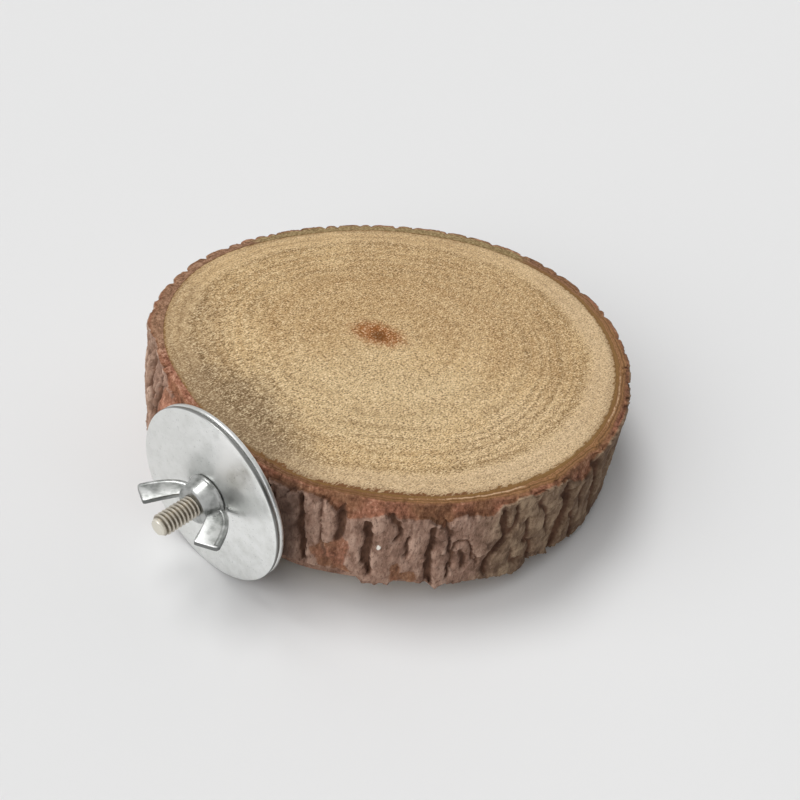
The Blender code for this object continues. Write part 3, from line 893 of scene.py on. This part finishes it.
# %% Push the points in
back_top = at_back * smooth(height, 14, 18)
whole = (1 - furrow) * (1 - 0.7 * above) * (1 - 0.75 * back_top)
rounding = 0.22 + 0.25 * back_top
depth_in = 0.20 + rounding - rounding * (1 - np.exp(-nearest / 0.5)) + carve - 0.14 * wide_rough
depth_in += whole * (0.18 * (0.5 - flake) + 0.08 * smooth(flake_apart, 0.14, 0.02))
chipped = 0.09 * (0.5 - chip) + 0.04 * smooth(chip_apart, 0.2, 0.02) - 0.06 * small_rough
depth_in += (0.5 + 0.5 * whole) * chipped
depth_in += above * (0.62 + 0.20 * np.clip(height - top_edge, 0, 3) - 0.35 * carve + 0.16 * mid_rough)
depth_in += below * np.clip(0.35 + 1.25 * (foot_edge - height), 0, 2.2)
depth_in += 0.25 * worn * (1 - furrow)
depth_in += to_left * (1.9 * smooth(height, 11.0, 18.5) + 0.25 * mid_rough)
depth_in = np.clip(depth_in, 0.02, 2.35 + 0.35 * to_left)
inner_edge = wood_radius(angle) / MM + 0.02
outer_edge = np.maximum(branch_radius(angle) / MM - depth_in, inner_edge + 0.35)
radius = (1 - share_in) * outer_edge + share_in * inner_edge
slope = smooth(height, 17.2, 19.0) * (0.55 * (1 - share_in) ** 1.5 + 0.12 * (0.5 - chip) * (share_in < 0.95))
new_height = height - np.maximum(slope, 0) * (0.5 + 0.5 * above)
move_spots(bark, round_places(radius, angle, new_height) * MM)
print("pushed in by %.2f to %.2f mm" % (depth_in[on_wall].min(), depth_in[on_wall].max()))

# %% Keep what the finish needs to know, and drill the hole
inner_bark = np.clip(np.maximum.reduce([above, 0.40 * below, 0.66 * worn]), 0, 1) * (1 - 0.45 * furrow)
# Painted shade: a dark band just under the broken tops of the plates, where they overhang
painted_shade_under_tops = smooth(np.abs(height - top_edge - 0.2), 0.55, 0.10) * np.clip(0.45 + 1.3 * mid_rough, 0, 1)
painted_shade_under_tops *= on_wall * smooth(height, 18.4, 17.8)
flake_edge = np.maximum(0.5 * smooth(flake_apart, 0.12, 0.0), 0.3 * smooth(chip_apart, 0.12, 0.0))
keep_attributes(bark,
                furrow=np.where(on_wall, furrow, 0) * (1 - 0.4 * above),
                inner_bark=np.where(on_wall, inner_bark, 1),
                rim=share_in * (height > 9),
                red_edge=away_from(-116, 15, 7),
                far_back=away_from(135, 52, 32),
                streak=along(degrees, STREAKS),
                flake=0.6 * flake + 0.4 * chip,
                # Crack holds dark lines between flakes and the painted shade under the plate tops
                crack=np.maximum(flake_edge, 1.5 * painted_shade_under_tops))
cut(bark, drill(), solver="FAST")
shade_smooth(bark, 60)

# %% [markdown]
# The bark's colours come from the depths that were carved. The plates are a dry pinkish brown, greyer
# to the left and browner to the right, and each flake has its own tone. Towards the back they are painted
# darker, as shade on the side turned from the light. The furrows are a dark brown, and painted shade lies
# under the broken tops of the plates and on the bark beside the washers. Where the plates are gone, the
# inner bark is a fibrous brick red. On the sawn rim thin rings of olive and cream follow the edge of the
# wood.

# %% The plates
crust = Finish("furrowed_bark", Specular_IOR_Level=0.2)
strands = crust.place(scale=(1, 1, 0.4))
fine = crust.grain(0.40 * MM, strands, 3.0, 0.7)
medium = crust.grain(1.3 * MM, strands, 5.0, 0.65)
broad = crust.grain(9 * MM, detail=2.0)
rightward = crust.axis(0, 40 * MM) + (broad - 0.5) * 0.35
backward = crust.axis(1, 40 * MM) + (broad - 0.5) * 0.25
shade = medium * 0.7 + crust.attribute("flake") * 0.3
brown_plate = shade.ramp((0.32, 92, 72, 57), (0.48, 136, 113, 91), (0.64, 172, 149, 122))
grey_plate = shade.ramp((0.34, 126, 102, 84), (0.50, 168, 141, 120), (0.66, 200, 178, 158))
tint = shade.ramp((0.32, 118, 90, 76), (0.48, 156, 124, 107), (0.64, 190, 158, 140)).coats(
    (backward.rise(-0.50, -0.32) * 0.9, brown_plate),
    (rightward.rise(-0.42, -0.70) * 0.50, grey_plate),
    (fine.rise(0.47, 0.33) * 0.60, (92, 68, 54)),
    (fine.rise(0.58, 0.72) * 0.35, (208, 180, 160)),
    # Painted shade: the plates darken towards the back, on the side turned from the light
    (backward.rise(-0.20, 0.10) * 0.35, (80, 58, 42)))
crust.tell()

# %% The inner bark, the furrows and a painted shadow beside the washers
fibres = crust.grain(0.50 * MM, crust.place(scale=(1, 1, 0.6)), 4.0, 0.75)
mottled = fibres * 0.5 + medium * 0.5
red_bark = mottled.ramp(
    (0.37, 90, 55, 41), (0.46, 142, 95, 73), (0.55, 174, 120, 96), (0.64, 212, 164, 138))
brown_bark = mottled.ramp(
    (0.36, 76, 48, 34), (0.47, 126, 86, 62), (0.56, 154, 112, 84), (0.67, 186, 145, 112))
inner_tint = crust.mix(broad.rise(0.40, 0.60), red_bark, brown_bark)
furrow_tint = medium.ramp((0.38, 82, 58, 46), (0.62, 116, 84, 66))
tint = tint.coats(
    ((crust.attribute("inner_bark") + fine * 0.4).rise(0.50, 0.95), inner_tint),
    (crust.attribute("furrow").rise(0.06, 0.60) * 0.92, furrow_tint),
    # Darker along the edges between flakes, and painted shade under the tops of the plates
    (crust.attribute("crack") * 0.45, (70, 48, 36)),
    # Painted shadow: a dark patch on the bark just right of the washers
    (crust.patch((12.4, -38.4, 3.4, 3.0, 0), medium * 0.4, 1.5, 0.7) * 0.55, (62, 50, 46)))
crust.tell()

# %% The rim of the bark
rim = crust.attribute("rim")
bent_rim = rim + crust.grain(2.5 * MM) * 0.30
rim_lines = bent_rim.stripes(9.0, 4.0)
dark_lines = rim_lines.rise(0.52, 0.40) * rightward.rise(-0.4, 0.3)
front_rim = crust.patch((18, -34, 14, 8, -0.52), medium * 0.8, 1.5, 0.8)
far_back = (crust.attribute("far_back") + (medium - 0.5) * 0.8).rise(0.3, 0.7)
pinkish = mottled.ramp((0.40, 106, 76, 57), (0.50, 153, 117, 92), (0.62, 197, 160, 132))
reddish = mottled.ramp((0.40, 92, 52, 38), (0.50, 154, 100, 78), (0.60, 206, 158, 134))
khaki = fibres.ramp((0.34, 112, 92, 60), (0.50, 150, 130, 90), (0.66, 182, 164, 122))
rim_tint = (rim_lines * 0.5 + fibres * 0.5).ramp(
    (0.34, 84, 60, 44), (0.47, 122, 88, 66), (0.56, 148, 110, 84), (0.68, 182, 142, 114)).coats(
    (fibres.rise(0.50, 0.36) * 0.8, (88, 60, 38)),
    (rightward.rise(-0.25, -0.60) * 0.6, pinkish),
    (rightward.rise(0.0, 0.6) * 0.55, (162, 119, 74)),
    (crust.attribute("red_edge") * 0.7, reddish),
    (front_rim * 0.40, (92, 58, 40)),
    (dark_lines * 0.6, (92, 64, 40)),
    (far_back * 0.85, khaki))
crust.tell()

# %% The border to the wood, and a pale fleck on the front
FLECK_TURN, FLECK_HEIGHT = math.radians(-50.6), 9.7 * MM
fleck_far = float(branch_radius(FLECK_TURN))
fleck_shift = (-fleck_far * math.cos(FLECK_TURN), -fleck_far * math.sin(FLECK_TURN), -FLECK_HEIGHT)
from_fleck = crust.length(crust.place(shift=fleck_shift, scale=(1, 1, 0.7))) + fine * (0.5 * MM)
olive = bent_rim.rise(0.86, 0.98) * rightward.rise(-0.3, 0.3)
streak = (crust.attribute("streak") + fibres * 1.6).rise(1.20, 1.75)
cream = bent_rim.rise(0.72, 0.78) * bent_rim.rise(0.87, 0.80) * streak
tint = tint.coats(
    ((rim + fine * 0.3).rise(0.22, 0.50), rim_tint),
    (olive * 0.75, (132, 100, 58)),
    (cream * 0.8, (218, 188, 154)),
    (from_fleck.rise(0.75 * MM, 0.60 * MM), (244, 238, 228)))
relief = fine * 0.5 + medium * 0.5
crust.use(tint, medium.span(0.78, 0.98), relief.bump(0.35 * MM, 1.0), bark)
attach(bark, "perch")
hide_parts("bark")

# %% [markdown]
# ## The hanger bolt
#
# A hanger bolt has no head. One end is a coarse wood screw that is driven into the branch, the other a
# fine machine thread. The Screw modifier winds both: it takes one tooth, drawn as a short string of points,
# and lifts it by one pitch each turn. Where the string is exactly one pitch long, each turn closes on
# the next and the whole thread is one skin, which is then cut off square and closed at its ends.


# %% Wind a thread
def threaded(name, tooth, pitch, start, end, sides, shape=None):
    """A solid thread from start to end. The tooth is a list of (radius, share of pitch)."""
    turns = math.ceil((end - start) / pitch) + 2
    piece = string(name, [(radius, 0, start - pitch + share * pitch) for radius, share in tooth])
    apply_modifier(piece, "SCREW", angle=AROUND, screw_offset=pitch, iterations=turns, steps=sides,
                   render_steps=sides, axis="Z", use_merge_vertices=True, merge_threshold=1e-6)
    if shape:
        x, y, height = spots(piece).T
        move_spots(piece, round_places(shape(np.hypot(x, y), height), np.arctan2(y, x), height))
    edit(piece)
    for height, keep_above in ((start, True), (end, False)):
        bpy.ops.mesh.select_all(action="SELECT")
        bpy.ops.mesh.bisect(plane_co=(0, 0, height), plane_no=(0, 0, 1), use_fill=True,
                            clear_inner=keep_above, clear_outer=not keep_above, threshold=1e-7)
    close_up(2e-6)
    report(piece)
    return piece


STUD_PITCH = 0.7 * MM
STUD_SIDES = 48
STUD_ROOT, STUD_CREST = 1.46 * MM, 1.83 * MM
BARK_FACE = INNER_WASHER_FACE - 0.3 * MM
STUD_START = BARK_FACE - 1.4 * MM
STUD_FLANK, STUD_SHOULDER = STUD_ROOT + 0.28 * MM, STUD_CREST - 0.03 * MM
STUD_TOOTH = [(STUD_ROOT, 0), (STUD_ROOT, 0.18), (STUD_FLANK, 0.42), (STUD_SHOULDER, 0.52),
              (STUD_CREST, 0.60), (STUD_SHOULDER, 0.68), (STUD_FLANK, 0.78), (STUD_ROOT, 1)]


def tip_chamfer(far, height):
    """The end of the stud is turned off at a slant, so that a nut starts easily."""
    return np.minimum(far, 1.2 * MM + 0.7 * np.maximum(BOLT_TIP - height, 0))


stud = threaded("hanger_bolt_thread", STUD_TOOTH, STUD_PITCH, STUD_START, BOLT_TIP, STUD_SIDES, tip_chamfer)

# %% The wood screw and the shank
SCREW_PITCH = 1.8 * MM
SCREW_SIDES = 40
SCREW_CREST, SCREW_ROOT = 2.0 * MM, 1.3 * MM
SCREW_END = STUD_START - 3.4 * MM
POINT_LENGTH = 3.6 * MM
SCREW_FLANK = SCREW_ROOT + 0.35 * MM
SCREW_TOOTH = [(SCREW_ROOT, 0), (SCREW_ROOT, 0.50), (SCREW_FLANK, 0.66), (SCREW_CREST, 0.76),
               (SCREW_CREST, 0.80), (SCREW_FLANK, 0.88), (SCREW_ROOT, 1)]
SHANK_PROFILE = [(0, 0), (1.55, 0), (1.75, 0.25), (1.75, 3.45), (1.45, 3.75), (0, 3.75)]


def screw_point(far, height):
    """The screw grows from a small blunt point to its full thickness."""
    return far * np.clip((height - BOLT_POINT) / POINT_LENGTH, 0.12, 1)


screw = threaded("wood_screw", SCREW_TOOTH, SCREW_PITCH, BOLT_POINT, SCREW_END, SCREW_SIDES, screw_point)
shank = lathe("shank", in_mm(SHANK_PROFILE), STUD_SIDES)
move_spots(shank, spots(shank) + (0, 0, SCREW_END - 0.15 * MM))
bpy.ops.object.select_all(action="DESELECT")
for piece in (stud, screw, shank):
    piece.select_set(True)
bpy.context.view_layer.objects.active = stud
bpy.ops.object.join()
bolt = called("hanger_bolt_fine")
lay_on_bolt(bolt, 0)
shade_smooth(bolt, 50)

# %% [markdown]
# Rolled thread like this is zinc plated and has gone a little yellow. Dirt and tarnish stay in the roots, and
# the crests are rubbed bright, so the finish asks how far a point is from the bolt's axis.

# %% The thread's finish
tarnished = Finish("tarnished_thread", Metallic=1.0)
from_axis = tarnished.length(tarnished.place(shift=(0, 0, -BOLT_HEIGHT), scale=(1, 0, 1)))
from_tip = tarnished.axis(1) + BOLT_TIP
crest = from_axis.rise(STUD_ROOT + 0.05 * MM, STUD_CREST - 0.06 * MM).most(from_tip.rise(0.7 * MM, 0.3 * MM))
spotty = tarnished.grain(0.5 * MM)
steel_tint = tarnished.mix(crest, (142, 134, 120), (206, 199, 186)).coats(
    (spotty.rise(0.5, 0.7) * 0.5, (150, 138, 118)),
    # Painted highlight: the cut end of the stud is painted near white, as if it caught the light
    (from_tip.rise(0.30 * MM, 0.15 * MM), (232, 227, 214)))
steel_rough = (spotty - crest * 0.3).span(0.38, 0.55, 0.1, 0.8)
tarnished.use(steel_tint, steel_rough, spotty.bump(0.02 * MM, 0.4), bolt)
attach(bolt, "perch")
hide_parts("hanger_bolt")

# %% [markdown]
# ## The washers
#
# A wide thin washer is stamped from sheet. The punch leaves one edge rounded and the other sharp, and the
# sheet is never quite flat, which is why its reflections wander. One profile is spun into a ring. The second
# washer is a copy with a mesh of its own, bent in its own way.

# %% Spin a washer
BORE = 2.15 * MM
SHEET = 0.72 * MM
FLAT_STEPS = 12
WASHER_SIDES = 160
# The model keeps the parts that touch 0.3 mm apart. Here they close up
INNER_AT = INNER_WASHER_FACE + 0.18 * MM
OUTER_AT = INNER_AT + SHEET + 0.22 * MM
NUT_AT = OUTER_AT + SHEET + 0.06 * MM

flat = np.linspace(BORE + 0.1 * MM, WASHER_RADIUS - 0.25 * MM, FLAT_STEPS + 1)
WASHER_PROFILE = [(BORE, 0.12 * MM), (BORE, SHEET - 0.12 * MM)]
WASHER_PROFILE += [(radius, SHEET) for radius in flat]
WASHER_PROFILE += [(WASHER_RADIUS - 0.10 * MM, SHEET - 0.04 * MM),
                   (WASHER_RADIUS - 0.02 * MM, SHEET - 0.14 * MM), (WASHER_RADIUS, SHEET - 0.28 * MM),
                   (WASHER_RADIUS, 0.10 * MM), (WASHER_RADIUS - 0.08 * MM, 0)]
WASHER_PROFILE += [(radius, 0) for radius in flat[::-1]]


def washer(name, seed, dish, distance, edge_shade):
    """A washer bent to a slight dish with soft waves. Edge_shade says how much painted shade its cut edges
    get.
    """
    piece = lathe(name, WASHER_PROFILE, WASHER_SIDES, closed=True)
    places = spots(piece)
    wave = rough_at(places / MM + seed, 9.0, 2)
    far = np.hypot(places[:, 0], places[:, 1])
    stamped = smooth(far, WASHER_RADIUS - 0.06 * MM, WASHER_RADIUS - 0.01 * MM)
    # The cut edges are painted dark: painted shade along the rim and round the bore
    keep_attributes(piece, cut_edge=edge_shade * np.maximum(stamped, smooth(far, BORE + 0.06 * MM, BORE)))
    out = far / WASHER_RADIUS
    places[:, 2] += (dish * out ** 2 + 0.03 * wave * np.minimum(1, 2 * out)) * MM
    move_spots(piece, places)
    lay_on_bolt(piece, distance)
    shade_smooth(piece, 50)
    return piece


inner = washer("inner_washer_fine", 5.0, 0.02, INNER_AT, 0.3)
outer = washer("outer_washer_fine", 31.0, -0.02, OUTER_AT, 0.9)

# %% A painted highlight and a painted shadow of the nut on the outer washer
right, above_bolt = spots(outer)[:, 0] / MM, (spots(outer)[:, 2] - BOLT_HEIGHT) / MM
# Painted highlight: a bright patch above the hub and a little to its right
lobe_shape = np.exp(-((np.degrees(np.arctan2(above_bolt, right)) - 71) / 13) ** 2)
# Painted shadow of the nut: a dark streak on the washer, up and to the right of the hub
lengthwise, sideways = right * 0.79 + above_bolt * 0.61, above_bolt * 0.79 - right * 0.61
keep_attributes(outer,
                lobe=lobe_shape * smooth(np.hypot(right, above_bolt), 3.0, 4.5),
                smudge=np.exp(-((lengthwise - 6.6) / 4.2) ** 2 - (sideways / 1.9) ** 2))
print("the lobe covers %.0f%% of the washer" % (100 * (lobe_shape > 0.5).mean()))

# %% The washers' finish
zinc = Finish("satin_zinc", Metallic=1.0)
mottle = zinc.grain(2.2 * MM, detail=4.0, rough=0.6)
speck = zinc.grain(0.35 * MM, rough=0.7)
patch = zinc.grain(7 * MM, detail=2.0)
# The painted shadow of the nut, darker beside the hub
smudge = (zinc.attribute("smudge") + (mottle - 0.5) * 1.2).rise(0.15, 0.95)
# The painted highlight: the washer is painted near white above the hub
lobe = (zinc.attribute("lobe") + (mottle - 0.5) * 0.8).rise(0.2, 1.0)
zinc_tint = mottle.ramp((0.30, 232, 233, 230), (0.55, 248, 249, 247), (0.75, 255, 255, 254)).coats(
    # Painted shade: the left of each washer is painted darker than its right, as if less light fell there
    (zinc.axis(0, WASHER_RADIUS).rise(0.35, -0.45) * 0.45, (216, 217, 214)),
    (speck.rise(0.60, 0.74) * 0.6, (150, 152, 150)),
    (smudge * 0.62, (150, 151, 148)),
    (lobe, (255, 255, 253)),
    # Painted shade and dark reflection on the cut edges, which also draw a dark line between the washers
    (zinc.attribute("cut_edge"), (112, 112, 109)))
zinc_rough = (mottle * 0.5 + patch * 0.5).span(0.28, 0.44, 0.3, 0.7)
zinc_relief = speck * 0.25 + mottle
zinc.use(zinc_tint, zinc_rough, zinc_relief.bump(0.05 * MM, 0.35), inner, outer)
for piece, body, node in ((inner, "inner_washer", "inner_washer"), (outer, "outer_washer", "outer_washer")):
    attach(piece, body)
    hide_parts(node)

# %% [markdown]
# ## The wing nut
#
# The nut is a blunt cone with a bright band at its foot and two flat wings that lean back. The cone is spun.
# A wing is a flat outline pulled out to its thickness and bevelled all round, and the second is the first,
# turned half round. Booleans join the three, and a copy of the bolt's own thread cuts the bore.

# %% The cone of the nut
NUT_HEIGHT = 3.2
NUT_SIDES = 96
NUT_PROFILE = [(0, 0), (3.55, 0), (3.80, 0.08), (3.90, 0.25), (3.90, 0.50), (3.80, 0.66), (3.66, 0.74),
               (3.18, 2.80), (3.08, 3.05), (2.90, NUT_HEIGHT), (2.35, NUT_HEIGHT), (0, NUT_HEIGHT)]
nut = lathe("wing_nut_fine", in_mm(NUT_PROFILE), NUT_SIDES)
report(nut)

# %% The wings
WING_THICKNESS = 0.85 * MM
WING_TURNS = {1: math.radians(1), -1: math.radians(5)}
WING_BEVEL = 0.12 * MM


def bow(start, middle, end, steps=9):
    """A bowed line from start to end, pulled towards the middle point."""
    share = np.linspace(0, 1, steps)[:, None]
    line = (1 - share) ** 2 * start + 2 * share * (1 - share) * middle + share ** 2 * end
    return line.tolist()


WING_OUTLINE = bow((4.3, 0.3), (7.0, 0.85), (9.15, 5.9)) + [
    (9.1, 6.2), (8.8, 6.45), (7.4, 7.15), (6.2, 7.72), (5.85, 7.8), (5.6, 7.6), (4.6, 5.5), (3.6, 3.6),
    (3.15, 2.85), (2.5, 2.85), (2.5, 0.35)]
BEAD_LINE = bow((3.8, 0.75), (6.6, 1.3), (8.72, 6.0))
BEAD_RADIUS = 0.60 * MM


def turn_wing(piece, side):
    edit(piece)
    bpy.ops.transform.rotate(value=-WING_TURNS[side], orient_axis="Z", center_override=(0, 0, 0))
    close_up()
    return piece


def wing(side):
    """One flat wing. Side is 1 for the right one and -1 for the left one."""
    places = [(side * x * MM, -side * WING_THICKNESS / 2, z * MM) for x, z in WING_OUTLINE]
    piece = string("wing", places, closed=True)
    edit(piece)
    bpy.ops.mesh.edge_face_add()
    bpy.ops.mesh.extrude_region_move(TRANSFORM_OT_translate={"value": (0, side * WING_THICKNESS, 0)})
    bpy.ops.mesh.select_all(action="SELECT")
    bpy.ops.mesh.normals_make_consistent(inside=False)
    choose_edges(piece, lambda ends: abs(ends[0].co.y - ends[1].co.y) < 0.5 * WING_THICKNESS)
    bpy.ops.mesh.bevel(offset=WING_BEVEL, segments=2, affect="EDGES")
    return turn_wing(piece, side)


def bead(side):
    """The rolled lower edge of a wing: a round wire laid along it."""
    only(string("bead", [(side * x * MM, 0, z * MM) for x, z in BEAD_LINE]))
    bpy.ops.object.convert(target="CURVE")
    wire = bpy.context.object.data
    wire.bevel_depth = BEAD_RADIUS
    wire.bevel_resolution = 3
    wire.use_fill_caps = True
    bpy.ops.object.convert(target="MESH")
    return turn_wing(bpy.context.object, side)


for side in (1, -1):
    cut(nut, wing(side), "UNION")
    cut(nut, bead(side), "UNION")
report(nut)

# %% Tap the nut and lay it on the bolt
TAP_SPARE = 0.09 * MM
STEP_BACK = 4 * STUD_PITCH
HUB_RADIUS = 4.1
tap_start = STUD_START - NUT_AT + math.ceil((NUT_AT - STUD_START) / STUD_PITCH) * STUD_PITCH - STEP_BACK
tap = threaded("tap", [(radius + TAP_SPARE, share) for radius, share in STUD_TOOTH], STUD_PITCH,
               tap_start, NUT_HEIGHT * MM + STEP_BACK, STUD_SIDES)
cut(nut, tap)
lay_on_bolt(nut, NUT_AT)
shade_smooth(nut, 38)

beyond_hub = np.hypot(spots(nut)[:, 0], spots(nut)[:, 2] - BOLT_HEIGHT) > HUB_RADIUS * MM
on_edge = 1 - smooth(np.abs(spots(nut, "normal")[:, 2]), 0.45, 0.75)
# The edges of the wings get painted shade, as dark reflections
keep_attributes(nut, cut_edge=np.where(beyond_hub, on_edge, 0))
print("%.0f%% of the points lie on a wing" % (100 * beyond_hub.mean()))

# %% The nut's finish
bright = Finish("bright_zinc_nut", Metallic=1.0)
cast = bright.grain(1.5 * MM)
pits = bright.grain(0.25 * MM, rough=0.7)
bright_tint = cast.ramp((0.34, 144, 146, 143), (0.58, 188, 189, 187)).coats(
    (pits.rise(0.62, 0.74) * 0.45, (140, 142, 140)),
    # Painted shade on the edges of the wings
    (bright.attribute("cut_edge") * 0.8, (104, 106, 104)))
bright_relief = cast + pits * 0.3
bright.use(bright_tint, cast.span(0.27, 0.40, 0.3, 0.7), bright_relief.bump(0.03 * MM, 0.30), nut)
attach(nut, "wing_nut")
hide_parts("wing_nut")

# %% [markdown]
# ## The size of the dressed model
#
# The dressed model has to stay in the box of the CAD model. Both boxes are printed.

# %% Print both boxes
model_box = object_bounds()
for name, corners in (("cad", cad_box), ("model", model_box)):
    print(name, [[round(value / MM, 2) for value in corner] for corner in corners])
